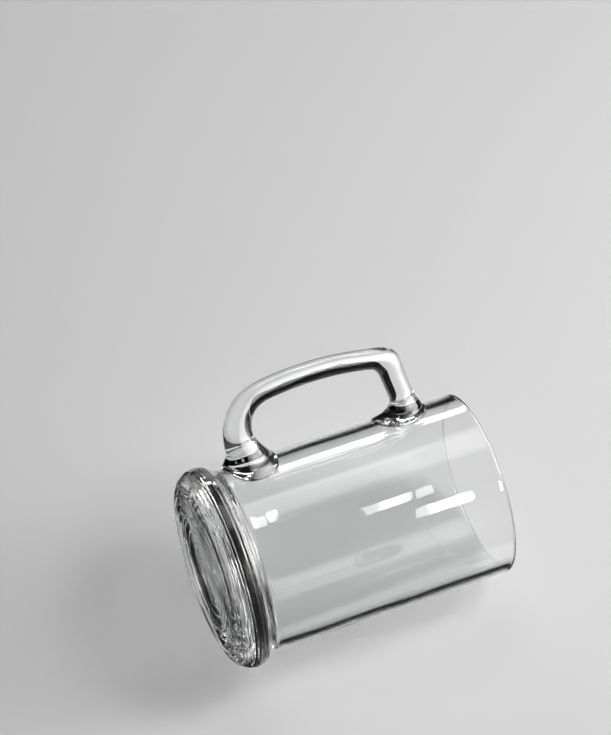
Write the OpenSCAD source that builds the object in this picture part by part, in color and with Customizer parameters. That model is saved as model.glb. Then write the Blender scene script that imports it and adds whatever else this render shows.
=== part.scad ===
// Half-litre beer stein in clear glass: a pressed foot, a straight bowl and a drawn handle, fused together.
// Millimetres. +Z runs from the foot to the mouth and the handle points along +X.
// The origin is the centre of the resting face.

/* [Bowl] */
// Outside diameter of the straight body
body_d = 87; // [70:0.5:110]
// Height from the resting face to the rim
body_h = 136.7; // [115:0.1:190]
// Thickness of the wall, rounded over at the rim
wall = 3.4; // [2:0.1:5]
// Thickness of the bowl's own bottom above the foot
bottom_t = 5; // [2.5:0.25:15]
// Radius of the corner inside the bottom
corner_r = 4; // [1:0.25:12]
// Height of the flank that draws in from the foot to the straight body
flank_h = 9.8; // [6:0.1:16]

/* [Foot] */
// How far the foot stands out beyond the straight body
foot_out = 4.25; // [2:0.05:6]
// Thickness of the foot
foot_h = 10.4; // [6:0.1:20]
// Radius of the foot's rounded lower edge
foot_edge_r = 10.2; // [2:0.1:18]
// Diameter of the shallow hollow under the foot
hollow_d = 50; // [20:0.5:60]
// Depth of the shallow hollow under the foot
hollow_depth = 1.5; // [0.5:0.1:4]

/* [Handle] */
// How far the outside of the grip stands from the wall
handle_reach = 37; // [30:0.1:55]
// Thickness of the grip, away from the wall
grip_t = 9; // [7:0.1:14]
// Width of the grip, from side to side
grip_w = 13.5; // [9:0.1:20]
// Thickness of the lower leg
low_leg_t = 13.6; // [9:0.1:18]
// Width of the lower leg
low_leg_w = 16; // [9:0.1:22]
// Thickness of the upper leg
high_leg_t = 11; // [7:0.1:14]
// Width of the upper leg
high_leg_w = 13.5; // [9:0.1:20]
// How far the bar swells outwards at the thumb corner
thumb_bulge = 2.6; // [0:0.1:5]
// Radius of the lower bend at the middle of the bar
low_bend_r = 18; // [12:0.1:22]
// Radius of the upper bend at the middle of the bar
high_bend_r = 12; // [8:0.1:15]
// How steeply the lower leg drops as it leaves the wall, in degrees
low_drop = 12; // [0:0.5:20]
// How steeply the upper leg drops as it leaves the wall, in degrees
high_drop = 10; // [0:0.5:20]
// Lean of the grip at its lower end, outwards, in degrees
lean_out = 9; // [4:0.5:14]
// Lean of the grip at its upper end, back in, in degrees
lean_in = 11.5; // [6:0.5:16]

/* [Handle pads] */
// Height of the lower pad on the wall
low_pad_h = 25; // [18:0.5:34]
// Width of the lower pad round the wall
low_pad_w = 35; // [20:0.5:40]
// How far from the wall the lower leg has its own section
low_flare = 15.5; // [6:0.5:20]
// Gap between the flank and the lower pad
low_pad_gap = 1; // [0.4:0.1:10]
// Height of the upper pad on the wall
high_pad_h = 25; // [14:0.5:30]
// Width of the upper pad round the wall
high_pad_w = 26; // [14:0.5:34]
// How far from the wall the upper leg has its own section
high_flare = 9; // [4:0.5:16]
// How far the upper pad's middle lies below the upper leg
high_pad_sag = 5; // [0:0.1:7]
// Distance from the rim down to the upper pad
rim_gap = 17; // [8:0.1:40]

/* [Hidden] */
glass = [0.88, 0.93, 0.94, 0.5];
$fn = 128;
arc_steps = 12;

// Bowl and foot
body_r = body_d / 2;
foot_r = body_r + foot_out;
neck_z = foot_h + flank_h;
inside_r = body_r - wall;
inside_z = foot_h + bottom_t;
edge_r = min(foot_edge_r, foot_h);
// The flank is two equal arcs that meet at the same slope
flank_r = (foot_out ^ 2 + flank_h ^ 2) / (4 * foot_out);
flank_turn = 2 * atan(foot_out / flank_h);
hollow_r = ((hollow_d / 2) ^ 2 + hollow_depth ^ 2) / (2 * hollow_depth);
hollow_turn = asin(hollow_d / 2 / hollow_r);

// Handle, drawn along a centre line that turns left all the way, with headings counted from +X towards +Z
section_sides = 28;
section_power = 2.4;
leg_steps = 9;
bend_steps = 14;
grip_steps = 12;
flare_power = 2.2;
// Above 1, the thumb corner lies towards the upper leg
thumb_skew = 1.3;
root_depth = 1.5;
root_step = 0.3;
// Above 1, a leg's sections crowd towards the wall
root_crowding = 1.6;
low_heading = -low_drop;
grip_start = 90 - lean_out;
grip_end = 90 + lean_in;
high_heading = 180 - high_drop;
low_root_z = neck_z + low_pad_gap + low_pad_h / 2;
high_root_z = body_h - rim_gap - high_pad_h / 2 + high_pad_sag;
grip_mid = handle_reach - grip_t / 2;
high_leg_x = grip_mid + high_bend_r * (sin(high_heading) - sin(grip_end));
low_bend_x = low_bend_r * (sin(grip_start) - sin(low_heading));
// The bow of the grip takes up the height that the legs and bends leave
bow_rise = cos(grip_start) - cos(grip_end) + tan(low_drop) * (1 - sin(grip_start))
    - tan(high_drop) * (1 - sin(grip_end));
bow_r = (high_root_z - low_root_z + tan(low_drop) * (grip_mid - low_bend_x)
    - low_bend_r * (cos(low_heading) - cos(grip_start)) - high_bend_r * (cos(grip_end) - cos(high_heading))
    - tan(high_drop) * high_leg_x) / bow_rise;
low_leg = (grip_mid - low_bend_x - bow_r * (1 - sin(grip_start))) / cos(low_heading);
high_leg = (high_leg_x - bow_r * (1 - sin(grip_end))) / cos(high_drop);

// Points of an arc about c, with angles counted from +X
function arc(c, r, from, to) =
    [for (i = [0:arc_steps]) let (a = from + (to - from) * i / arc_steps) c + r * [cos(a), sin(a)]];

function smooth(u) = u * u * (3 - 2 * u);
function mix(a, b, u) = a + (b - a) * u;

// Places [x, z, heading] along a left-hand bend that starts at the place p
function bend_place(p, r, heading) =
    [p[0] + r * (sin(heading) - sin(p[2])), p[1] + r * (cos(p[2]) - cos(heading)), heading];
// Place [x, z, heading] at a distance straight ahead of the place p
function ahead(p, distance) = [p[0] + distance * cos(p[2]), p[1] + distance * sin(p[2]), p[2]];

low_root = [body_r, low_root_z, low_heading];
low_bend = ahead(low_root, low_leg);
grip_low = bend_place(low_bend, low_bend_r, grip_start);
grip_high = bend_place(grip_low, bow_r, grip_end);
high_bend = bend_place(grip_high, high_bend_r, high_heading);

// Distances from the wall of the sections along a leg, closer together near the wall
function leg_distances(length) = concat(
    [-root_depth],
    [for (i = [0:leg_steps - 1]) root_step + (length - root_step) * (i / leg_steps) ^ root_crowding]
);

// From 1 at the wall to 0 at the end of a pad's flare
function nearness(distance, length) = max(0, 1 - max(0, distance) / length);
// How much of the pad a section has at a distance from the wall
function flare(distance, length) = nearness(distance, length) ^ flare_power;

// A section is [place, half thickness, half width, shift across the bar, share of the wall's curve]
function low_flared(place, t, w, distance) =
    let (pad = flare(distance, low_flare))
    [place, mix(t, low_pad_h, pad) / 2, mix(w, low_pad_w, pad) / 2, 0, nearness(distance, low_flare)];
function low_section(distance) = low_flared(ahead(low_root, distance), low_leg_t, low_leg_w, distance);
function high_section(distance) =
    let (pad = flare(distance, high_flare))
    [ahead(high_bend, high_leg - distance), mix(high_leg_t, high_pad_h, pad) / 2,
        mix(high_leg_w, high_pad_w, pad) / 2, high_pad_sag * pad, nearness(distance, high_flare)];
function low_bend_section(u) =
    let (heading = mix(low_heading, grip_start, u))
    low_flared(bend_place(low_bend, low_bend_r, heading), mix(low_leg_t, grip_t, smooth(u)),
        mix(low_leg_w, grip_w, smooth(u)), low_leg + low_bend_r * (heading - low_heading) * PI / 180);
function grip_section(u) =
    [bend_place(grip_low, bow_r, mix(grip_start, grip_end, u)), grip_t / 2, grip_w / 2, 0, 0];
function thumb(u) = thumb_bulge * sin(180 * u ^ thumb_skew) ^ 2;
function high_bend_section(u) =
    [bend_place(grip_high, high_bend_r, mix(grip_end, high_heading, u)),
        (mix(grip_t, high_leg_t, smooth(u)) + thumb(u)) / 2, mix(grip_w, high_leg_w, smooth(u)) / 2,
        -thumb(u) / 2, 0];

handle_sections = concat(
    [for (d = leg_distances(low_leg)) low_section(d)],
    [for (i = [0:bend_steps - 1]) low_bend_section(i / bend_steps)],
    [for (i = [0:grip_steps - 1]) grip_section(i / grip_steps)],
    [for (i = [0:bend_steps]) high_bend_section(i / bend_steps)],
    [let (far = leg_distances(high_leg)) for (i = [leg_steps:-1:0]) high_section(far[i])]
);

// Coordinate of a rounded section on one axis, where v is the cosine or sine of the angle round it
function rounded(v) = sign(v) * abs(v) ^ (2 / section_power);

// Ring of points round one section, bent to follow the wall near a pad
function ring(section) =
    let (p = section[0])
    [for (i = [0:section_sides - 1])
        let (
            a = 360 * (i + 0.5) / section_sides,
            side = section[2] * rounded(cos(a)),
            across = section[1] * rounded(sin(a)) + section[3],
            x = p[0] - across * sin(p[2]),
            wrap = section[4] * (p[0] - sqrt(p[0] ^ 2 - side ^ 2))
        )
        [x - wrap, side, p[1] + across * cos(p[2])]
    ];

module handle_bar() {
    rings = len(handle_sections);
    points = [for (section = handle_sections) each ring(section)];
    start = [for (i = [0:section_sides - 1]) i];
    end = [for (i = [section_sides - 1:-1:0]) (rings - 1) * section_sides + i];
    skin = [
        for (k = [0:rings - 2])
        for (i = [0:section_sides - 1])
        let (
            a = k * section_sides + i,
            b = k * section_sides + (i + 1) % section_sides,
            c = a + section_sides,
            d = b + section_sides
        )
        each [[a, c, b], [b, c, d]]
    ];
    polyhedron(points, concat([start, end], skin), convexity = 6);
}

// Pressed foot: a thick disc with a round lower edge, resting on a flat ring
module foot() {
    profile = concat(
        arc([0, hollow_depth - hollow_r], hollow_r, 90, 90 - hollow_turn),
        arc([foot_r - edge_r, edge_r], edge_r, -90, 0),
        [[foot_r, foot_h], [0, foot_h]]
    );
    color(glass) rotate_extrude() polygon(profile);
}

// Bowl: a straight wall on a thick bottom, with a flank that draws in from the foot and a rounded rim
module bowl() {
    fillet = min(corner_r, inside_r / 2);
    rim_z = body_h - wall / 2;
    profile = concat(
        [[0, foot_h]],
        arc([foot_r - flank_r, foot_h], flank_r, 0, flank_turn),
        arc([body_r + flank_r, neck_z], flank_r, 180 + flank_turn, 180),
        arc([body_r - wall / 2, rim_z], wall / 2, 0, 180),
        arc([inside_r - fillet, inside_z + fillet], fillet, 0, -90),
        [[0, inside_z]]
    );
    color(glass) rotate_extrude() polygon(profile);
}

// Handle: a drawn bar with a pad at each root, fused to the outside of the wall
module handle() {
    color(glass) difference() {
        handle_bar();
        cylinder(r = body_r, h = body_h);
    }
}

foot();
bowl();
handle();
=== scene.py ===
import math

import bmesh
import bpy
from mathutils import Matrix, Vector


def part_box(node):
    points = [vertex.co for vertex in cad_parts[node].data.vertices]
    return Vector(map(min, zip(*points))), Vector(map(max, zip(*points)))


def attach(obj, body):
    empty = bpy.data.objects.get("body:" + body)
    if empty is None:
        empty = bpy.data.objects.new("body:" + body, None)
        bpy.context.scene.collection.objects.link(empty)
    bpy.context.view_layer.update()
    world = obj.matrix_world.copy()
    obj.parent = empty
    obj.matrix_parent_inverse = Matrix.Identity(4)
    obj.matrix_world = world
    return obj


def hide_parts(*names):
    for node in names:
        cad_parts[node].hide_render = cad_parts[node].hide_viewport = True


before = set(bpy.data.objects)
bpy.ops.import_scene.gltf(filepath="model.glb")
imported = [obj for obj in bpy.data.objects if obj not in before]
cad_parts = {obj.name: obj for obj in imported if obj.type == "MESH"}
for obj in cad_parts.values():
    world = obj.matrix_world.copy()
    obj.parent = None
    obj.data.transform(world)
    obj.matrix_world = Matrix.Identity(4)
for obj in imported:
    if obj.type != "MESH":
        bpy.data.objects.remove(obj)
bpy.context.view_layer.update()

MM = 0.001
TURN = 2 * math.pi

# Sizes of the foot and the bowl, in metres
foot_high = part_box("foot")[1]
bowl_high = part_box("bowl")[1]
handle_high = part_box("handle")[1]
FOOT_R = foot_high.x
FOOT_H = foot_high.z
BODY_H = bowl_high.z
BODY_R = 43.5 * MM
WALL = 3.4 * MM
BOTTOM_T = 5 * MM
CORNER_R = 4 * MM
FLANK_H = 9.8 * MM
EDGE_R = 10.2 * MM
HOLLOW_R = 25 * MM
HOLLOW_DEPTH = 1.5 * MM
NECK_Z = FOOT_H + FLANK_H
INSIDE_R = BODY_R - WALL
INSIDE_Z = FOOT_H + BOTTOM_T
RIM_Z = BODY_H - WALL / 2

# Sizes of the handle
REACH = handle_high.x - BODY_R
GRIP_T = 9 * MM
GRIP_W = 13.5 * MM
LOW_LEG_T = 13.6 * MM
LOW_LEG_W = 16 * MM
HIGH_LEG_T = 11 * MM
HIGH_LEG_W = 13.5 * MM
LOW_BEND_R = 18 * MM
HIGH_BEND_R = 12 * MM
LOW_DROP = math.radians(12)
HIGH_DROP = math.radians(10)
GRIP_START = math.radians(90 - 9)
GRIP_END = math.radians(90 + 11.5)
SECTION_POWER = 2.4
# Swell at the thumb corner before the rings are smoothed. Above 1, its skew is towards the upper leg
THUMB_BULGE = 3.2 * MM
THUMB_SKEW = 1.3

# Sizes of the pads where the handle is fused to the wall
LOW_PAD_H = 25 * MM
LOW_PAD_W = 35 * MM
LOW_FLARE = 15.5 * MM
LOW_PAD_GAP = 1 * MM
HIGH_PAD_H = 25 * MM
HIGH_PAD_W = 26 * MM
HIGH_FLARE = 9 * MM
HIGH_PAD_SAG = 5 * MM
RIM_GAP = 17 * MM
FLARE_POWER = 2.2
LIP_T = 1.4 * MM
LIP_OUT = 0.35 * MM
LOW_ROOT_Z = NECK_Z + LOW_PAD_GAP + LOW_PAD_H / 2
HIGH_ROOT_Z = BODY_H - RIM_GAP - HIGH_PAD_H / 2 + HIGH_PAD_SAG

# Fineness of the meshes: round the axis, on the pads' patches of the wall and along each stretch
SEGMENTS = 192
PATCH_COLUMNS = 32
PATCH_ROWS = 24
PATCH_RINGS = 7
PAD_RINGS = 5
HOLLOW_STEPS = 90
REST_STEPS = 60
EDGE_STEPS = 110
FLANK_STEPS = 36
WALL_ROWS = 22
TOP_ROWS = 8
RIM_STEPS = 24
INSIDE_STEPS = 70
CORNER_STEPS = 18
BOTTOM_STEPS = 30
LOW_LEG_STEPS = 26
LOW_BEND_STEPS = 48
GRIP_STEPS = 84
HIGH_BEND_STEPS = 26
HIGH_LEG_STEPS = 44

# Index of each finish in a piece's material slots
GLASS, SEAM = 0, 1
# Hair's breadth between two fused faces, and how far from one the last ring of the foot's side lies
SEAM_GAP = 0.02 * MM
SEAM_EDGE = 4 * SEAM_GAP
# Rings of the fused face between foot and bowl, as shares of the foot's radius
SEAM_RINGS = (0.97, 0.75, 0.5, 0.25)


def mix(a, b, share):
    return a + (b - a) * share


def smooth(share):
    return share * share * (3 - 2 * share)


def ease(value, start, end):
    """Smoothly from 0 at the start to 1 at the end."""
    return smooth(min(1, max(0, (value - start) / (end - start))))


def wave(angle):
    """Sine wave between 0 and 1."""
    return 0.5 + 0.5 * math.sin(angle)


def lobed(angle, lobes):
    """Sum of sine waves round a section, each given as a count, a size and a phase."""
    return sum(size * math.sin(count * angle + phase) for count, size, phase in lobes)


def arc(r, z, radius, start, end, steps):
    """Points (r, z) of an arc about (r, z), from one angle to another in degrees."""
    angles = [math.radians(mix(start, end, i / steps)) for i in range(steps + 1)]
    return [(r + radius * math.cos(a), z + radius * math.sin(a)) for a in angles]


def line(start, end, steps):
    """Points (r, z) of a straight line, without its first point."""
    shares = [i / steps for i in range(1, steps + 1)]
    return [(mix(start[0], end[0], share), mix(start[1], end[1], share)) for share in shares]


def circle(r, z, sides):
    """Ring of points about the axis."""
    turns = [TURN * j / sides for j in range(sides)]
    return [(r * math.cos(turn), r * math.sin(turn), z) for turn in turns]


class Shell:
    """Points and faces of one closed piece of glass, built ring by ring."""

    def __init__(self, name):
        self.name = name
        self.points = []
        self.faces = []
        self.finishes = []

    def add(self, point):
        self.points.append(point)
        return len(self.points) - 1

    def ring(self, points):
        return [self.add(p) for p in points]

    def face(self, corners, finish=GLASS):
        self.faces.append(corners)
        self.finishes.append(finish)

    def band(self, low, high, finish=GLASS):
        for i in range(len(low)):
            j = (i + 1) % len(low)
            self.face((low[i], low[j], high[j], high[i]), finish)

    def cap(self, ring, centre, finish=GLASS):
        middle = self.add(centre)
        for i in range(len(ring)):
            self.face((ring[i], ring[(i + 1) % len(ring)], middle), finish)

    def finish(self, materials):
        """Makes the object, with its normals outwards and a crease round each fused face."""
        mesh = bpy.data.meshes.new(self.name)
        mesh.from_pydata(self.points, [], self.faces)
        mesh.polygons.foreach_set("material_index", self.finishes)
        for material in materials:
            mesh.materials.append(material)
        work = bmesh.new()
        work.from_mesh(mesh)
        bmesh.ops.recalc_face_normals(work, faces=work.faces)
        for face in work.faces:
            face.smooth = True
        for edge in work.edges:
            edge.smooth = len({face.material_index for face in edge.link_faces}) == 1
        work.to_mesh(mesh)
        work.free()
        piece = bpy.data.objects.new(self.name, mesh)
        bpy.context.scene.collection.objects.link(piece)
        return piece


# Tool marks round the foot: width, depth and sway of a ridge, lobes round the axis and phase
RING_MARKS = (
    (1.5 * MM, 0.05 * MM, 0.15 * MM, 2, 2.5),
    (2.3 * MM, 0.10 * MM, 0.20 * MM, 1, 0.4),
    (3.7 * MM, 0.15 * MM, 0.40 * MM, 2, 1.9),
    (6.1 * MM, 0.16 * MM, 0.60 * MM, 1, 3.1),
)
# Share of its depth that a mark keeps where it is faintest
FAINTEST_MARK = 0.5
# The marks grow between two radii on the underside and fade out below the neck
MARKS_START = 0.2 * HOLLOW_R
MARKS_FULL = 1.1 * HOLLOW_R
MARKS_FADE = 5 * MM


def ring_mark(along, turn):
    """Depth of the tool marks at a distance along the profile and an angle round the axis."""
    total = 0
    for width, depth, sway, lobes, phase in RING_MARKS:
        strength = mix(FAINTEST_MARK, 1, wave(lobes * turn + 2 * phase))
        drift = sway * math.sin(lobes * turn + phase)
        total += depth * strength * wave(TURN * (along + drift) / width + phase)
    return total


def mark_strength(r, z):
    """Share of the tool marks' depth that shows at a point (r, z) of the profile."""
    return ease(r, MARKS_START, MARKS_FULL) * ease(z, NECK_Z, NECK_Z - MARKS_FADE)


def outside_profile():
    """Profiles of the foot from the axis out, and of the flank up to the neck, as (r, z) points."""
    hollow_curve = (HOLLOW_R ** 2 + HOLLOW_DEPTH ** 2) / (2 * HOLLOW_DEPTH)
    hollow_turn = math.degrees(math.asin(HOLLOW_R / hollow_curve))
    flank_in = FOOT_R - BODY_R
    flank_r = (flank_in ** 2 + FLANK_H ** 2) / (4 * flank_in)
    flank_turn = math.degrees(2 * math.atan(flank_in / FLANK_H))
    hollow = arc(0, HOLLOW_DEPTH - hollow_curve, hollow_curve, 90, 90 - hollow_turn, HOLLOW_STEPS)
    rest = line((HOLLOW_R, 0), (FOOT_R - EDGE_R, 0), REST_STEPS)
    edge = arc(FOOT_R - EDGE_R, EDGE_R, EDGE_R, -90, 0, EDGE_STEPS)[1:]
    side = [(FOOT_R, FOOT_H - SEAM_EDGE), (FOOT_R, FOOT_H - SEAM_GAP)]
    low_flank = arc(FOOT_R - flank_r, FOOT_H, flank_r, 0, flank_turn, FLANK_STEPS)
    high_flank = arc(BODY_R + flank_r, NECK_Z, flank_r, 180 + flank_turn, 180, FLANK_STEPS)[1:]
    return hollow + rest + edge + side, low_flank + high_flank


def marked_rings(profile, first, last):
    """Rings of the profile's points first to last, sunk along the normals by the tool marks."""
    along = [0]
    for p, q in zip(profile, profile[1:]):
        along.append(along[-1] + math.hypot(q[0] - p[0], q[1] - p[1]))
    rings = []
    for k in range(first, last):
        before = profile[max(k - 1, 0)]
        after = profile[min(k + 1, len(profile) - 1)]
        slope = Vector((after[0] - before[0], after[1] - before[1])).normalized()
        inward = Vector((-slope.y, slope.x))
        ring = []
        for j in range(SEGMENTS):
            turn = TURN * j / SEGMENTS
            depth = ring_mark(along[k], turn) * mark_strength(*profile[k])
            r = profile[k][0] + inward.x * depth
            ring.append((r * math.cos(turn), r * math.sin(turn), profile[k][1] + inward.y * depth))
        rings.append(ring)
    return rings


def seam_disc(shell, ring, z):
    """Flat fused face inside a ring at the height z."""
    outer = ring
    for share in SEAM_RINGS:
        inner = shell.ring(circle(FOOT_R * share, z, SEGMENTS))
        shell.band(outer, inner, SEAM)
        outer = inner
    shell.cap(outer, (0, 0, z), SEAM)


def make_foot():
    """Heavy pressed foot with a shallow hollow under it and tool marks round its edge."""
    shell = Shell("foot_glass")
    under, flank = outside_profile()
    profile = under + flank
    rings = [shell.ring(ring) for ring in marked_rings(profile, 1, len(under))]
    shell.cap(rings[0], (0, 0, profile[0][1]))
    for low, high in zip(rings, rings[1:]):
        shell.band(low, high)
    seam_disc(shell, rings[-1], FOOT_H - SEAM_GAP)
    return shell


# Slow waves in the blown wall: lobes round the axis, waves up the wall, phase
WALL_WAVES = ((2, 1.3, 0.3), (3, 2.1, 1.7), (5, 3.2, 4.0))
OUTSIDE_WAVE = 0.05 * MM
INSIDE_WAVE = 0.12 * MM
INSIDE_PHASE = 2.0
# The waves start outside above the neck, and inside below the rim
OUTSIDE_FADE = 8 * MM
INSIDE_FADE = 20 * MM


def wall_wave(turn, z, phase):
    """Share of the wave's depth at an angle and a height, from 0 to 1."""
    total = 0
    for lobes, waves, start in WALL_WAVES:
        round_axis = math.sin(lobes * turn + start + phase)
        up_wall = math.sin(TURN * waves * z / BODY_H + start - phase)
        total += round_axis * up_wall
    return 0.5 + 0.5 * total / len(WALL_WAVES)


def wall_point(turn, z, gap=0):
    """Point on the outside of the straight wall, or a little off it."""
    sunk = OUTSIDE_WAVE * wall_wave(turn, z, 0) * ease(z, NECK_Z, NECK_Z + OUTSIDE_FADE)
    r = BODY_R - sunk + gap
    return (r * math.cos(turn), r * math.sin(turn), z)


def rounded(value):
    """Coordinate of a rounded section on one axis, from the cosine or sine of the angle round it."""
    return math.copysign(abs(value) ** (2 / SECTION_POWER), value)


class Pad:
    """Place of one pad's patch on the wall and the outline where the handle is fused to it.

    The bar leaves the wall upright at the lower pad and comes back upside down at the upper one.
    """

    def __init__(self, middle_z, height, width, half_patch, upright, lobes):
        self.middle_z = middle_z
        self.half_h = height / 2
        self.half_w = width / 2
        self.half_patch = half_patch
        self.upright = upright
        self.lobes = lobes

    def swell(self, angle):
        """Uneven growth of the outline at an angle, as a share of its size."""
        return lobed(angle, self.lobes)

    def outline(self, angle):
        """Angle round the axis and height of the outline at an angle round the pad."""
        grow = 1 + self.swell(angle)
        side = self.half_w * rounded(math.cos(angle)) * grow
        across = self.half_h * rounded(math.sin(angle)) * grow
        return math.asin(side / BODY_R), self.middle_z + (across if self.upright else -across)


# Uneven outline of each pad: count of lobes, share of the pad's size and phase
LOW_PAD_LOBES = ((2, 0.012, 0.6), (3, 0.018, 2.2), (5, 0.012, 4.4))
HIGH_PAD_LOBES = ((2, 0.02, 2.6), (3, 0.022, 0.9), (5, 0.015, 3.3))
# Half the height of the wall's patch round each pad. The lower patch starts at the neck
LOW_PATCH = LOW_ROOT_Z - NECK_Z
HIGH_PATCH = 14.5 * MM
HIGH_PAD_Z = HIGH_ROOT_Z - HIGH_PAD_SAG
LOW_PAD = Pad(LOW_ROOT_Z, LOW_PAD_H, LOW_PAD_W, LOW_PATCH, upright=True, lobes=LOW_PAD_LOBES)
HIGH_PAD = Pad(HIGH_PAD_Z, HIGH_PAD_H, HIGH_PAD_W, HIGH_PATCH, upright=False, lobes=HIGH_PAD_LOBES)


def patch_rim():
    """Cells (row, column) round the edge of a pad's patch, once round."""
    low = [(0, c) for c in range(PATCH_COLUMNS)]
    right = [(r, PATCH_COLUMNS) for r in range(PATCH_ROWS)]
    high = [(PATCH_ROWS, c) for c in range(PATCH_COLUMNS, 0, -1)]
    left = [(r, 0) for r in range(PATCH_ROWS, 0, -1)]
    return low + right + high + left


PATCH_RIM = patch_rim()
# Angles round a pad, and so round the handle's sections, that belong to the cells of the patch's edge
SECTION_ANGLES = [
    math.atan2(2 * row / PATCH_ROWS - 1, 2 * column / PATCH_COLUMNS - 1) for row, column in PATCH_RIM
]


def pad_face(shell, pad, outline, gap=0):
    """Fused face inside a pad's outline, lying on the wall."""
    places = [pad.outline(a) for a in SECTION_ANGLES]
    outer = outline
    for k in range(PAD_RINGS - 1, 0, -1):
        share = k / PAD_RINGS
        inner = shell.ring(
            [wall_point(turn * share, mix(pad.middle_z, z, share), gap) for turn, z in places]
        )
        shell.band(outer, inner, SEAM)
        outer = inner
    shell.cap(outer, wall_point(0, pad.middle_z, gap), SEAM)


def wall_patch(shell, pad, rows):
    """Part of the wall round a pad, with the pad's outline cut into it."""
    half = PATCH_COLUMNS // 2
    rim = []
    rim_places = []
    for row, column in PATCH_RIM:
        level = row if pad.upright else PATCH_ROWS - row
        rim.append(rows[level][(column - half) % SEGMENTS])
        z = mix(pad.middle_z - pad.half_patch, pad.middle_z + pad.half_patch, level / PATCH_ROWS)
        rim_places.append((TURN * (column - half) / SEGMENTS, z))
    outline_places = [pad.outline(a) for a in SECTION_ANGLES]
    outer = rim
    for k in range(1, PATCH_RINGS + 1):
        share = k / PATCH_RINGS
        inner = shell.ring(
            [wall_point(mix(p[0], q[0], share), mix(p[1], q[1], share))
             for p, q in zip(rim_places, outline_places)]
        )
        shell.band(outer, inner)
        outer = inner
    pad_face(shell, pad, outer)


def wall_rows(shell, first):
    """Grid of the straight wall from the neck's ring up, with a patch for each pad. Returns the top row."""
    half = PATCH_COLUMNS // 2
    low_edges = [pad.middle_z - pad.half_patch for pad in (LOW_PAD, HIGH_PAD)]
    high_edges = [pad.middle_z + pad.half_patch for pad in (LOW_PAD, HIGH_PAD)]
    stretches = (
        (low_edges[0], high_edges[0], PATCH_ROWS, LOW_PAD),
        (high_edges[0], low_edges[1], WALL_ROWS, None),
        (low_edges[1], high_edges[1], PATCH_ROWS, HIGH_PAD),
        (high_edges[1], RIM_Z, TOP_ROWS, None),
    )
    row = first
    for low, high, steps, pad in stretches:
        rows = [row]
        for k in range(1, steps + 1):
            inside_patch = pad is not None and k < steps
            z = mix(low, high, k / steps)
            made = {}
            for j in range(-SEGMENTS // 2, SEGMENTS // 2):
                if not (inside_patch and -half < j < half):
                    made[j % SEGMENTS] = shell.add(wall_point(TURN * j / SEGMENTS, z))
            rows.append(made)
        for below, above in zip(rows, rows[1:]):
            for j in range(-SEGMENTS // 2, SEGMENTS // 2):
                if pad is None or not -half <= j < half:
                    a = j % SEGMENTS
                    b = (j + 1) % SEGMENTS
                    shell.face((below[a], below[b], above[b], above[a]))
        if pad is not None:
            wall_patch(shell, pad, rows)
        row = rows[-1]
    return row


def inside_ring(r, z):
    """Ring on the inside of the bowl, with the slow waves of blown glass."""
    points = []
    for j in range(SEGMENTS):
        turn = TURN * j / SEGMENTS
        sunk = INSIDE_WAVE * wall_wave(turn, z, INSIDE_PHASE) * ease(z, RIM_Z, RIM_Z - INSIDE_FADE)
        wavy = r + sunk * r / INSIDE_R
        points.append((wavy * math.cos(turn), wavy * math.sin(turn), z))
    return points


# Radius of the smallest ring in the middle of the inside bottom
BOTTOM_MIDDLE_R = 1 * MM


def make_bowl():
    """Straight bowl with a thick bottom, a fire-polished rim and a flank that runs into the foot."""
    shell = Shell("bowl_glass")
    under, flank = outside_profile()
    profile = under + flank
    rings = [shell.ring(r) for r in marked_rings(profile, len(under), len(profile))]
    seam_disc(shell, rings[0], FOOT_H)
    for low, high in zip(rings, rings[1:]):
        shell.band(low, high)
    top = wall_rows(shell, dict(enumerate(rings[-1])))
    last = [top[j] for j in range(SEGMENTS)]
    rim = arc(BODY_R - WALL / 2, RIM_Z, WALL / 2, 0, 180, RIM_STEPS)[1:]
    wall = line((INSIDE_R, RIM_Z), (INSIDE_R, INSIDE_Z + CORNER_R), INSIDE_STEPS)
    corner = arc(INSIDE_R - CORNER_R, INSIDE_Z + CORNER_R, CORNER_R, 0, -90, CORNER_STEPS)[1:]
    bottom = line((INSIDE_R - CORNER_R, INSIDE_Z), (BOTTOM_MIDDLE_R, INSIDE_Z), BOTTOM_STEPS)
    for r, z in rim + wall + corner + bottom:
        ring = shell.ring(inside_ring(r, z))
        shell.band(last, ring)
        last = ring
    shell.cap(last, (0, 0, INSIDE_Z))
    return shell


def bend_place(place, radius, heading):
    """Place (x, z, heading) along a left-hand bend that starts at a place."""
    x, z, start = place
    return (
        x + radius * (math.sin(heading) - math.sin(start)),
        z + radius * (math.cos(start) - math.cos(heading)),
        heading,
    )


def ahead(place, distance):
    """Place (x, z, heading) straight ahead of a place."""
    x, z, heading = place
    return (x + distance * math.cos(heading), z + distance * math.sin(heading), heading)


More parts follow.
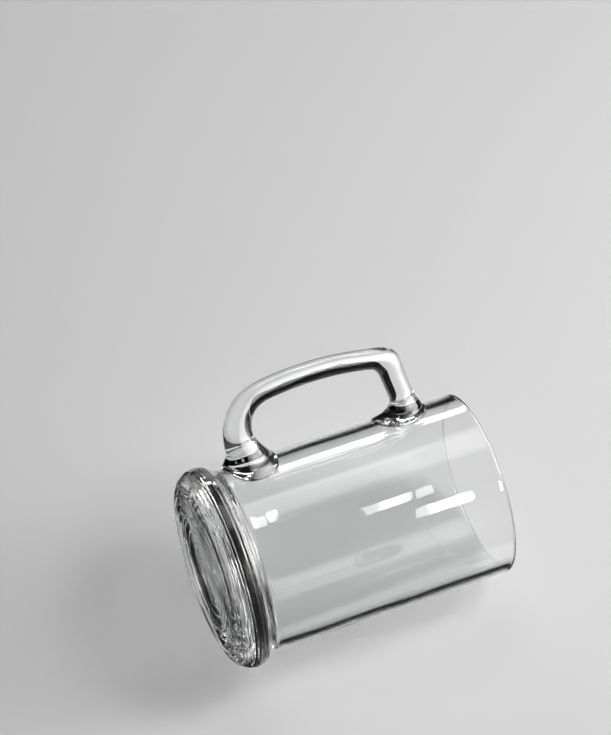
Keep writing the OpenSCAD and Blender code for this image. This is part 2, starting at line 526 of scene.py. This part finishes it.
class HandleLine:
    """Centre line of the handle: lower leg, lower bend, bowed grip, upper bend and upper leg."""

    def __init__(self):
        mid = REACH - GRIP_T / 2
        high_heading = math.pi - HIGH_DROP
        low_reach = LOW_BEND_R * (math.sin(GRIP_START) + math.sin(LOW_DROP))
        high_reach = mid + HIGH_BEND_R * (math.sin(high_heading) - math.sin(GRIP_END))
        low_lost = math.tan(LOW_DROP)
        high_lost = math.tan(HIGH_DROP)
        rise = (
            math.cos(GRIP_START) - math.cos(GRIP_END)
            + low_lost * (1 - math.sin(GRIP_START)) - high_lost * (1 - math.sin(GRIP_END))
        )
        height = (
            HIGH_ROOT_Z - LOW_ROOT_Z + low_lost * (mid - low_reach) - high_lost * high_reach
            - LOW_BEND_R * (math.cos(LOW_DROP) - math.cos(GRIP_START))
            - HIGH_BEND_R * (math.cos(GRIP_END) - math.cos(high_heading))
        )
        self.bow_r = height / rise
        self.low_leg = (mid - low_reach - self.bow_r * (1 - math.sin(GRIP_START))) / math.cos(LOW_DROP)
        self.high_leg = (high_reach - self.bow_r * (1 - math.sin(GRIP_END))) / math.cos(HIGH_DROP)
        self.high_heading = high_heading
        self.low_root = (BODY_R, LOW_ROOT_Z, -LOW_DROP)
        self.low_bend = ahead(self.low_root, self.low_leg)
        self.grip_low = bend_place(self.low_bend, LOW_BEND_R, GRIP_START)
        self.grip_high = bend_place(self.grip_low, self.bow_r, GRIP_END)
        self.high_bend = bend_place(self.grip_high, HIGH_BEND_R, high_heading)


# Folds round the leg beside a pad: depth, length of one fold, reach from the wall and where they start
FOLD_DEPTH = 0.32 * MM
FOLD_LENGTH = 2.5 * MM
FOLD_REACH = 6.5 * MM
FOLD_START = 0.8 * MM
# How the folds sway round the leg: count, share of a fold and phase
FOLD_SWAYS = ((2, 0.14, 1.1), (3, 0.1, 0.4))
# Lines drawn along the bar: count round the bar, phase and how far they twist over a length
DRAW_DEPTH = 0.07 * MM
DRAW_LINES = ((5, 0.3, 11), (9, 2.1, -17), (14, 4.2, 23))
DRAW_LENGTH = 100 * MM


def fold(distance, angle):
    """Height of the folds of hot glass at a distance from the wall."""
    fade = math.exp(-((distance / FOLD_REACH) ** 2)) * min(1, distance / FOLD_START)
    return FOLD_DEPTH * fade * math.sin(TURN * (distance / FOLD_LENGTH + lobed(angle, FOLD_SWAYS)))


def draw_line(angle, z):
    """Height of the faint lines that run along a drawn bar."""
    along = z / DRAW_LENGTH
    total = sum(math.sin(count * angle + phase + twist * along) for count, phase, twist in DRAW_LINES)
    return DRAW_DEPTH * total / len(DRAW_LINES)


def nearness(distance, length):
    """From 1 at the wall to 0 at the end of a pad's flare, with a short steep lip at the wall."""
    lipped = distance * (1 - math.exp(-distance / LIP_T))
    return max(0, 1 - lipped / length)


def section(place, thick, wide, distance, pad, bulge=0):
    """Ring of the handle round a place, flared to a pad when it is near the wall."""
    flare_length = LOW_FLARE if pad.upright else HIGH_FLARE
    near = nearness(distance, flare_length)
    flare = near ** FLARE_POWER
    lip = LIP_OUT * math.sin(math.pi * min(1, distance / (2 * LIP_T))) ** 2
    half_t = mix(thick, 2 * pad.half_h, flare) / 2 + lip
    half_w = mix(wide, 2 * pad.half_w, flare) / 2 + lip
    drop = 0 if pad.upright else HIGH_PAD_SAG * flare
    x, z, heading = place
    level = 0 if pad.upright else math.pi
    tilt = mix(heading, level, near ** 2)
    points = []
    for angle in SECTION_ANGLES:
        grow = 1 + pad.swell(angle) * flare
        grow += fold(distance, angle) / half_w + draw_line(angle, z) / half_w * (1 - near)
        side = half_w * rounded(math.cos(angle)) * grow
        across = half_t * rounded(math.sin(angle)) * grow + drop - bulge
        wrap = near * (x - math.sqrt(x * x - side * side))
        points.append((x - across * math.sin(tilt) - wrap, side, z + across * math.cos(tilt)))
    return points


# Above 1, a leg's rings crowd towards the wall
LEG_CROWDING = 1.5
# How often the rings are smoothed along the bar, and how many at each end are kept as they are
EASE_PASSES = 24
EASE_KEPT = 14
# Distance that counts as far from both pads
FAR = 10 * max(LOW_FLARE, HIGH_FLARE)


def leg_distances(length, steps):
    """Distances from the wall along a leg, closer together near the wall."""
    return [length * (k / steps) ** LEG_CROWDING for k in range(steps)]


def handle_rings():
    """Rings along the handle, from the lower pad to the upper one."""
    bar = HandleLine()
    rings = []
    for d in leg_distances(bar.low_leg, LOW_LEG_STEPS):
        rings.append(section(ahead(bar.low_root, d), LOW_LEG_T, LOW_LEG_W, d, LOW_PAD))
    for k in range(LOW_BEND_STEPS):
        u = k / LOW_BEND_STEPS
        heading = mix(-LOW_DROP, GRIP_START, u)
        d = bar.low_leg + LOW_BEND_R * (heading + LOW_DROP)
        thick = mix(LOW_LEG_T, GRIP_T, smooth(u))
        wide = mix(LOW_LEG_W, GRIP_W, smooth(u))
        rings.append(section(bend_place(bar.low_bend, LOW_BEND_R, heading), thick, wide, d, LOW_PAD))
    for k in range(GRIP_STEPS):
        heading = mix(GRIP_START, GRIP_END, k / GRIP_STEPS)
        rings.append(section(bend_place(bar.grip_low, bar.bow_r, heading), GRIP_T, GRIP_W, FAR, LOW_PAD))
    for k in range(HIGH_BEND_STEPS):
        u = k / HIGH_BEND_STEPS
        thumb = THUMB_BULGE * math.sin(math.pi * u ** THUMB_SKEW) ** 2
        place = bend_place(bar.grip_high, HIGH_BEND_R, mix(GRIP_END, bar.high_heading, u))
        thick = mix(GRIP_T, HIGH_LEG_T, smooth(u)) + thumb
        wide = mix(GRIP_W, HIGH_LEG_W, smooth(u))
        rings.append(section(place, thick, wide, FAR, HIGH_PAD, bulge=thumb / 2))
    for d in [bar.high_leg] + leg_distances(bar.high_leg, HIGH_LEG_STEPS)[::-1]:
        rings.append(section(ahead(bar.high_bend, bar.high_leg - d), HIGH_LEG_T, HIGH_LEG_W, d, HIGH_PAD))
    return eased(rings)


def eased(rings):
    """Rings smoothed along the bar, so that its bends run into each other, with both pads kept."""
    for _ in range(EASE_PASSES):
        before = rings
        rings = list(before)
        for k in range(EASE_KEPT, len(before) - EASE_KEPT):
            rings[k] = [
                tuple((p + 2 * q + r) / 4 for p, q, r in zip(*corner))
                for corner in zip(before[k - 1], before[k], before[k + 1])
            ]
    return rings


def make_handle():
    """Drawn handle with a pad at each root, each pad ending on the wall."""
    shell = Shell("handle_glass")
    rings = handle_rings()
    rings[0] = [wall_point(*LOW_PAD.outline(a), SEAM_GAP) for a in SECTION_ANGLES]
    rings[-1] = [wall_point(*HIGH_PAD.outline(a), SEAM_GAP) for a in SECTION_ANGLES]
    made = [shell.ring(r) for r in rings]
    for low, high in zip(made, made[1:]):
        shell.band(low, high)
    pad_face(shell, LOW_PAD, made[0], SEAM_GAP)
    pad_face(shell, HIGH_PAD, made[-1], SEAM_GAP)
    return shell


def node(tree, kind, **values):
    """A shader node with its named properties and inputs set."""
    made = tree.nodes.new(kind)
    for name, value in values.items():
        if name in made.inputs:
            made.inputs[name].default_value = value
        else:
            setattr(made, name, value)
    return made


def new_material(name):
    """Material with an empty node tree, and the tree."""
    material = bpy.data.materials.new(name)
    material.use_nodes = True
    material.node_tree.nodes.clear()
    return material, material.node_tree


# Clear glass: tint at two levels of a noise, roughness between two levels of another, and a soft ripple
GLASS_IOR = 1.52
TINT_STOPS = ((0.3, (0.978, 0.985, 0.982, 1)), (0.7, (0.992, 0.996, 0.994, 1)))
POLISH_LEVELS = (0.45, 0.8)
POLISH_ROUGHNESS = (0.0, 0.03)
RIPPLE_HEIGHT = 0.05 * MM


def clear_glass():
    """Fire-polished soda-lime glass: a faint uneven tint, a slightly uneven polish and a soft ripple."""
    material, tree = new_material("clear_glass")
    link = tree.links.new
    where = node(tree, "ShaderNodeTexCoord")
    tint_noise = node(tree, "ShaderNodeTexNoise", Scale=22.0, Detail=2.0)
    link(where.outputs["Object"], tint_noise.inputs["Vector"])
    tint = node(tree, "ShaderNodeValToRGB")
    for stop, (position, colour) in zip(tint.color_ramp.elements, TINT_STOPS):
        stop.position = position
        stop.color = colour
    link(tint_noise.outputs["Fac"], tint.inputs["Fac"])
    polish_noise = node(tree, "ShaderNodeTexNoise", Scale=140.0, Detail=4.0)
    link(where.outputs["Object"], polish_noise.inputs["Vector"])
    polish = node(tree, "ShaderNodeMapRange")
    for name, value in zip(("From Min", "From Max", "To Min", "To Max"), POLISH_LEVELS + POLISH_ROUGHNESS):
        polish.inputs[name].default_value = value
    link(polish_noise.outputs["Fac"], polish.inputs["Value"])
    ripple_noise = node(tree, "ShaderNodeTexNoise", Scale=85.0, Detail=1.0)
    link(where.outputs["Object"], ripple_noise.inputs["Vector"])
    ripple = node(tree, "ShaderNodeBump", Strength=0.25, Distance=RIPPLE_HEIGHT)
    link(ripple_noise.outputs["Fac"], ripple.inputs["Height"])
    shader = node(tree, "ShaderNodeBsdfPrincipled", IOR=GLASS_IOR)
    shader.inputs["Transmission Weight"].default_value = 1.0
    link(tint.outputs["Color"], shader.inputs["Base Color"])
    link(polish.outputs["Result"], shader.inputs["Roughness"])
    link(ripple.outputs["Normal"], shader.inputs["Normal"])
    out = node(tree, "ShaderNodeOutputMaterial")
    link(shader.outputs["BSDF"], out.inputs["Surface"])
    return material


def fused_glass():
    """Face where two pieces are fused: light goes straight through it, because the glass runs on."""
    material, tree = new_material("fused_glass")
    shader = node(tree, "ShaderNodeBsdfPrincipled", IOR=1.0, Roughness=0.0)
    shader.inputs["Base Color"].default_value = (1, 1, 1, 1)
    shader.inputs["Transmission Weight"].default_value = 1.0
    out = node(tree, "ShaderNodeOutputMaterial")
    tree.links.new(shader.outputs["BSDF"], out.inputs["Surface"])
    return material


finishes = (clear_glass(), fused_glass())
pieces = {}
for shell, cad_node in ((make_foot(), "foot"), (make_bowl(), "bowl"), (make_handle(), "handle")):
    piece = shell.finish(finishes)
    pieces[cad_node] = piece
    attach(piece, "root")
    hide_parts(cad_node)


# Camera: where it stood for the photograph, in the stein's frame
CAMERA_AT = Vector((462.4, 1423.1, -277.7)) * MM
CAMERA_RIGHT = Vector((-0.2383, 0.2907, 0.9267))
CAMERA_UP = Vector((0.9375, -0.1803, 0.2976))
FOCAL_PIXELS = 3328.3
PHOTO_W, PHOTO_H = 611, 735
SENSOR = 36.0


def camera_axes():
    """Directions to the right of the picture, up the picture and back to the camera."""
    right = CAMERA_RIGHT.normalized()
    back = right.cross(CAMERA_UP).normalized()
    return right, back.cross(right), back


def make_camera():
    right, up, back = camera_axes()
    data = bpy.data.cameras.new("camera")
    data.sensor_width = SENSOR
    data.lens = FOCAL_PIXELS * SENSOR / PHOTO_H
    camera = bpy.data.objects.new("camera", data)
    camera.matrix_world = Matrix.Translation(CAMERA_AT) @ Matrix((right, up, back)).transposed().to_4x4()
    bpy.context.scene.collection.objects.link(camera)
    bpy.context.scene.camera = camera


make_camera()


# Studio: one pale floor for the standing stein and one for the stein on its side, as photographed. The
# photograph's camera stands below the standing floor, so its rays come through the open sheets under that
# floor, and each floor shows only to the rays that belong to it.
AXIS = Vector((0, 0, 1))
# Standing floor, in metres: its radius, the rings of its flat part and the cove that turns up into a wall
FLOOR_R = 2.6
FLOOR_RINGS = (0.05, 2 * FOOT_R, 0.4, 1.0)
COVE_R = 0.5
COVE_H = 1.0
COVE_STEPS = 16
COVE_SIDES = 96
# Open sheets under it: how many, how far apart and half their width
SHEETS = 5
SHEET_STEP = 0.5 * MM
SHEET_HALF = 1.0
# Colours of the paper, and how much of its own colour each floor adds where it is seen
PALE = (0.75, 0.75, 0.75, 1)
DARK = (0.02, 0.02, 0.02, 1)
STANDING_GLOW = 0.36
LYING_GLOW = 0.27


def stage_object(name, points, faces, material):
    """Part of the studio, which isn't part of the stein."""
    mesh = bpy.data.meshes.new(name)
    mesh.from_pydata(points, [], faces)
    mesh.materials.append(material)
    for face in mesh.polygons:
        face.use_smooth = True
    made = bpy.data.objects.new(name, mesh)
    bpy.context.scene.collection.objects.link(made)
    return made


def stage_card(name, middle, across, along, material):
    """Flat card that reaches from its middle as far as across and along, both ways."""
    low = middle - along
    high = middle + along
    corners = [low - across, low + across, high + across, high - across]
    return stage_object(name, corners, [(0, 1, 2, 3)], material)


def sheet_material():
    """Sheet that nothing shows, which counts the rays that go through it."""
    material, tree = new_material("open_sheet")
    shader = node(tree, "ShaderNodeBsdfTransparent")
    out = node(tree, "ShaderNodeOutputMaterial")
    tree.links.new(shader.outputs["BSDF"], out.inputs["Surface"])
    return material


def paper_material(name, lying, colour, glow_strength, one_sided=True):
    """Matt paper that shows to the rays that belong to it."""
    material, tree = new_material(name)
    link = tree.links.new

    def calculated(operation, first, second):
        made = node(tree, "ShaderNodeMath", operation=operation)
        for socket, value in zip(made.inputs, (first, second)):
            if isinstance(value, bpy.types.NodeSocket):
                link(value, socket)
            else:
                socket.default_value = value
        return made.outputs[0]

    path = node(tree, "ShaderNodeLightPath")
    place = node(tree, "ShaderNodeNewGeometry")
    height = node(tree, "ShaderNodeSeparateXYZ")
    link(place.outputs["Position"], height.inputs["Vector"])
    # A ray from below goes through all the sheets and through the back of the standing floor
    came_from_below = calculated("GREATER_THAN", path.outputs["Transparent Depth"], SHEETS + 0.5)
    lies_below = calculated("LESS_THAN", height.outputs["Z"], 0)
    if lying:
        wanted = calculated("MAXIMUM", came_from_below, lies_below)
    else:
        wanted = calculated("SUBTRACT", 1, came_from_below)
    front = calculated("SUBTRACT", 1, place.outputs["Backfacing"]) if one_sided else 1
    seen = calculated("MAXIMUM", path.outputs["Is Camera Ray"], path.outputs["Is Glossy Ray"])
    seen = calculated("MAXIMUM", seen, path.outputs["Is Transmission Ray"])
    clear = node(tree, "ShaderNodeBsdfTransparent")
    paper = node(tree, "ShaderNodeBsdfDiffuse", Color=colour)
    glow = node(tree, "ShaderNodeEmission", Color=colour)
    link(calculated("MULTIPLY", seen, glow_strength), glow.inputs["Strength"])
    lit = node(tree, "ShaderNodeAddShader")
    link(paper.outputs["BSDF"], lit.inputs[0])
    link(glow.outputs["Emission"], lit.inputs[1])
    either = node(tree, "ShaderNodeMixShader")
    link(calculated("MULTIPLY", wanted, front), either.inputs[0])
    link(clear.outputs["BSDF"], either.inputs[1])
    link(lit.outputs["Shader"], either.inputs[2])
    out = node(tree, "ShaderNodeOutputMaterial")
    link(either.outputs["Shader"], out.inputs["Surface"])
    return material


def make_standing_floor():
    """Round floor that turns up into a wall, seen from inside, with the open sheets under it."""
    profile = [(r, 0) for r in FLOOR_RINGS]
    profile += arc(FLOOR_R - COVE_R, COVE_R, COVE_R, -90, 0, COVE_STEPS)
    profile.append((FLOOR_R, COVE_H))
    points = [(0, 0, 0)]
    for r, z in profile:
        points += circle(r, z, COVE_SIDES)
    faces = [(0, 1 + j, 1 + (j + 1) % COVE_SIDES) for j in range(COVE_SIDES)]
    for k in range(len(profile) - 1):
        for j in range(COVE_SIDES):
            a = 1 + k * COVE_SIDES + j
            b = 1 + k * COVE_SIDES + (j + 1) % COVE_SIDES
            faces.append((a, a + COVE_SIDES, b + COVE_SIDES, b))
    paper = paper_material("standing_paper", False, PALE, STANDING_GLOW)
    floor = stage_object("standing_floor", points, faces, paper)
    open_sheet = sheet_material()
    across = Vector((SHEET_HALF, 0, 0))
    along = Vector((0, SHEET_HALF, 0))
    for k in range(SHEETS):
        stage_card(f"open_sheet_{k}", -AXIS * (k + 1) * SHEET_STEP, across, along, open_sheet)
    return floor


# The lying stein touches its floor with the foot's edge and the rim, so its axis leans a little
LIE_UP = Vector((0.76, 0.65, 0)).normalized()
LEAN = math.atan2(FOOT_R - BODY_R, RIM_Z - FOOT_H)
LIE_NORMAL = LIE_UP * math.cos(LEAN) - AXIS * math.sin(LEAN)
LIE_ALONG = AXIS * math.cos(LEAN) + LIE_UP * math.sin(LEAN)
LIE_SIDE = LIE_NORMAL.cross(LIE_ALONG)
LIE_FOOT = AXIS * FOOT_H - LIE_UP * FOOT_R
# How far the lying floor reaches past the picture's frame
VIEW_MARGIN = 1.03


def view_corner(side, level):
    """Point of the lying floor a little past a corner of the picture."""
    right, up, back = camera_axes()
    way = right * (side * VIEW_MARGIN * PHOTO_W / 2) + up * (level * VIEW_MARGIN * PHOTO_H / 2)
    way -= back * FOCAL_PIXELS
    return CAMERA_AT + way * ((LIE_FOOT - CAMERA_AT).dot(LIE_NORMAL) / way.dot(LIE_NORMAL))


def make_lying_floor():
    """Flat floor under the lying stein, as large as the picture shows."""
    corners = [view_corner(-1, -1), view_corner(1, -1), view_corner(1, 1), view_corner(-1, 1)]
    paper = paper_material("lying_paper", True, PALE, LYING_GLOW)
    return stage_object("lying_floor", corners, [(0, 1, 2, 3)], paper)


# Dark cards beside the lying stein and on its floor, unseen by the camera, draw the edges of the glass dark
CARD_H = 85 * MM
CARD_LIFT = 1 * MM
BACK_CARD_FAR = 150 * MM
BACK_CARD_HALF = 450 * MM
SIDE_CARD_FAR = 220 * MM
SIDE_CARD_HALF = 300 * MM
# Cards on the floor: reach along the stein from its resting face, and reach across it from front to back
FLOOR_CARDS = {
    "foot_card": ((-70 * MM, 16 * MM), (-100 * MM, 170 * MM)),
    "rim_card": ((162 * MM, 260 * MM), (-100 * MM, 160 * MM)),
    "edge_card": ((24 * MM, 160 * MM), (-60 * MM, -36 * MM)),
}


def dark_card(name, middle, across, along, material):
    """Card that only mirror images and refraction in the glass show."""
    card = stage_card(name, middle, across, along, material)
    card.visible_camera = False
    card.visible_diffuse = False
    card.visible_shadow = False


def make_dark_cards():
    """Upright cards behind and beside the lying stein, and flat cards on its floor."""
    dark_paper = paper_material("dark_paper", True, DARK, 0, one_sided=False)
    to_camera = CAMERA_AT - LIE_FOOT
    away = (LIE_NORMAL * to_camera.dot(LIE_NORMAL) - to_camera).normalized()
    sideways = LIE_NORMAL.cross(away)
    up = LIE_NORMAL * CARD_H / 2
    middle = LIE_FOOT + AXIS * (BODY_H / 2 - FOOT_H) + up
    dark_card("back_card", middle + away * BACK_CARD_FAR, sideways * BACK_CARD_HALF, up, dark_paper)
    dark_card("left_card", middle - sideways * SIDE_CARD_FAR, away * SIDE_CARD_HALF, up, dark_paper)
    dark_card("right_card", middle + sideways * SIDE_CARD_FAR, away * SIDE_CARD_HALF, up, dark_paper)
    for name, (along, across) in FLOOR_CARDS.items():
        middle = LIE_FOOT + LIE_NORMAL * CARD_LIFT
        middle += LIE_ALONG * (sum(along) / 2 - FOOT_H) + LIE_SIDE * sum(across) / 2
        half_along = LIE_ALONG * (along[1] - along[0]) / 2
        half_across = LIE_SIDE * (across[1] - across[0]) / 2
        dark_card(name, middle, half_across, half_along, dark_paper)


# Lamps: how far they stand from the middle of the stein, and how much of their width fades out at each edge
LAMP_FAR = 1.0
SOFT_EDGE = 0.3
# Where the middle of a lamp's face lies, counted from 0 at one edge to 1 at the other
FACE_MIDDLE = 0.5


def soft_strength(tree, edge):
    """Strength of a lamp's light over its face, from full in the middle to none at the edges."""
    place = node(tree, "ShaderNodeNewGeometry")
    edges = node(tree, "ShaderNodeSeparateXYZ")
    tree.links.new(place.outputs["Parametric"], edges.inputs["Vector"])
    both = node(tree, "ShaderNodeMath", operation="MULTIPLY")
    for axis, factor in zip(("X", "Y"), both.inputs):
        from_edge = node(tree, "ShaderNodeMath", operation="PINGPONG")
        from_edge.inputs[1].default_value = FACE_MIDDLE
        tree.links.new(edges.outputs[axis], from_edge.inputs[0])
        fade = node(tree, "ShaderNodeMapRange", interpolation_type="SMOOTHSTEP")
        fade.inputs["From Max"].default_value = edge
        tree.links.new(from_edge.outputs[0], fade.inputs["Value"])
        tree.links.new(fade.outputs["Result"], factor)
    return both.outputs[0]


def soft_box(name, toward, size, radiance, edge=SOFT_EDGE, far=LAMP_FAR, only=(), mirrored=False):
    """Area lamp that looks at the middle of the stein, for some objects only or for mirror images only."""
    width, height = size
    data = bpy.data.lights.new(name, "AREA")
    data.shape = "RECTANGLE"
    data.size = width
    data.size_y = height
    data.energy = radiance * math.pi * width * height
    data.use_nodes = True
    emission = data.node_tree.nodes["Emission"]
    data.node_tree.links.new(soft_strength(data.node_tree, edge), emission.inputs["Strength"])
    lamp = bpy.data.objects.new(name, data)
    way = Vector(toward).normalized()
    lamp.location = AXIS * BODY_H / 2 + way * far
    lamp.rotation_mode = "QUATERNION"
    lamp.rotation_quaternion = way.to_track_quat("Z", "Y")
    lamp.visible_camera = False
    lamp.visible_transmission = not mirrored
    bpy.context.scene.collection.objects.link(lamp)
    if only:
        lit = bpy.data.collections.new(name + "_lit")
        for lit_object in only:
            lit.objects.link(lit_object)
        lamp.light_linking.receiver_collection = lit


def make_lamps(floors):
    """Two lamps for all, one for the stein's shadow on the floors, then highlights of single pieces."""
    foot, bowl, handle = pieces["foot"], pieces["bowl"], pieces["handle"]
    soft_box("key_box", (0.3, 0.55, 0.78), (0.45, 0.45), radiance=9, far=0.95)
    soft_box("top_box", (0.97, 0.32, 0.165), (0.8, 0.8), radiance=2, far=1.1)
    soft_box("floor_box", (0.55, 0.65, 0.5), (0.4, 0.4), radiance=11, only=floors)
    over_handle = (0.4, 0.7, 0.59)
    soft_box("sky_box", over_handle, (2.2, 2.0), radiance=12, edge=0.35, only=[handle], mirrored=True)
    soft_box("pad_box", over_handle, (2.2, 2.0), radiance=1.3, edge=0.35, only=[handle])
    soft_box("high_strip", (0.85, -0.5, -0.2), (0.8, 0.1), radiance=20, edge=0.1, only=[foot, bowl])
    soft_box("low_strip", (-0.5, 0.82, -0.45), (0.8, 0.1), radiance=20, edge=0.1, only=[foot, bowl])
    soft_box("foot_top", (0.5, -0.8, 0.3), (0.5, 0.5), radiance=14, edge=0.2, only=[foot], mirrored=True)
    soft_box("foot_high", (0.81, -0.33, -0.49), (0.6, 0.25), radiance=22, edge=0.2, only=[foot])
    soft_box("foot_low", (0.05, 0.72, -0.69), (0.6, 0.25), radiance=26, edge=0.2, only=[foot])
    soft_box("rim_box", (0.75, -0.5, 0.2), (0.12, 0.7), radiance=12, edge=0.2, only=[foot, bowl, handle])
    soft_box("bowl_box", (0.5, 0.6, 0.62), (1.0, 0.9), radiance=0.8, edge=0.4, only=[bowl])
    soft_box("mouth_box", (0.3, 0.1, 0.95), (2.2, 2.2), radiance=9, only=[bowl], mirrored=True)
    soft_box("low_catch", (0.83, 0.52, 0.152), (0.24, 0.02), radiance=12, edge=0.02, only=[bowl])
    soft_box("high_catch", (0.1, 0.96, 0.287), (0.2, 0.04), radiance=18, edge=0.02, only=[bowl])


WORLD_GREY = (0.04, 0.04, 0.04, 1)
LIGHT_BOUNCES = 32
MIRROR_BOUNCES = 16


def set_world():
    """Dim world round the studio, and enough bounces for light that goes through many walls of glass."""
    scene = bpy.context.scene
    scene.world = bpy.data.worlds.new("studio")
    scene.world.use_nodes = True
    scene.world.node_tree.nodes["Background"].inputs["Color"].default_value = WORLD_GREY
    scene.view_settings.view_transform = "Standard"
    scene.cycles.max_bounces = LIGHT_BOUNCES
    scene.cycles.transmission_bounces = LIGHT_BOUNCES
    scene.cycles.transparent_max_bounces = LIGHT_BOUNCES
    scene.cycles.glossy_bounces = MIRROR_BOUNCES


stage_floors = [make_standing_floor(), make_lying_floor()]
make_dark_cards()
make_lamps(stage_floors)
set_world()
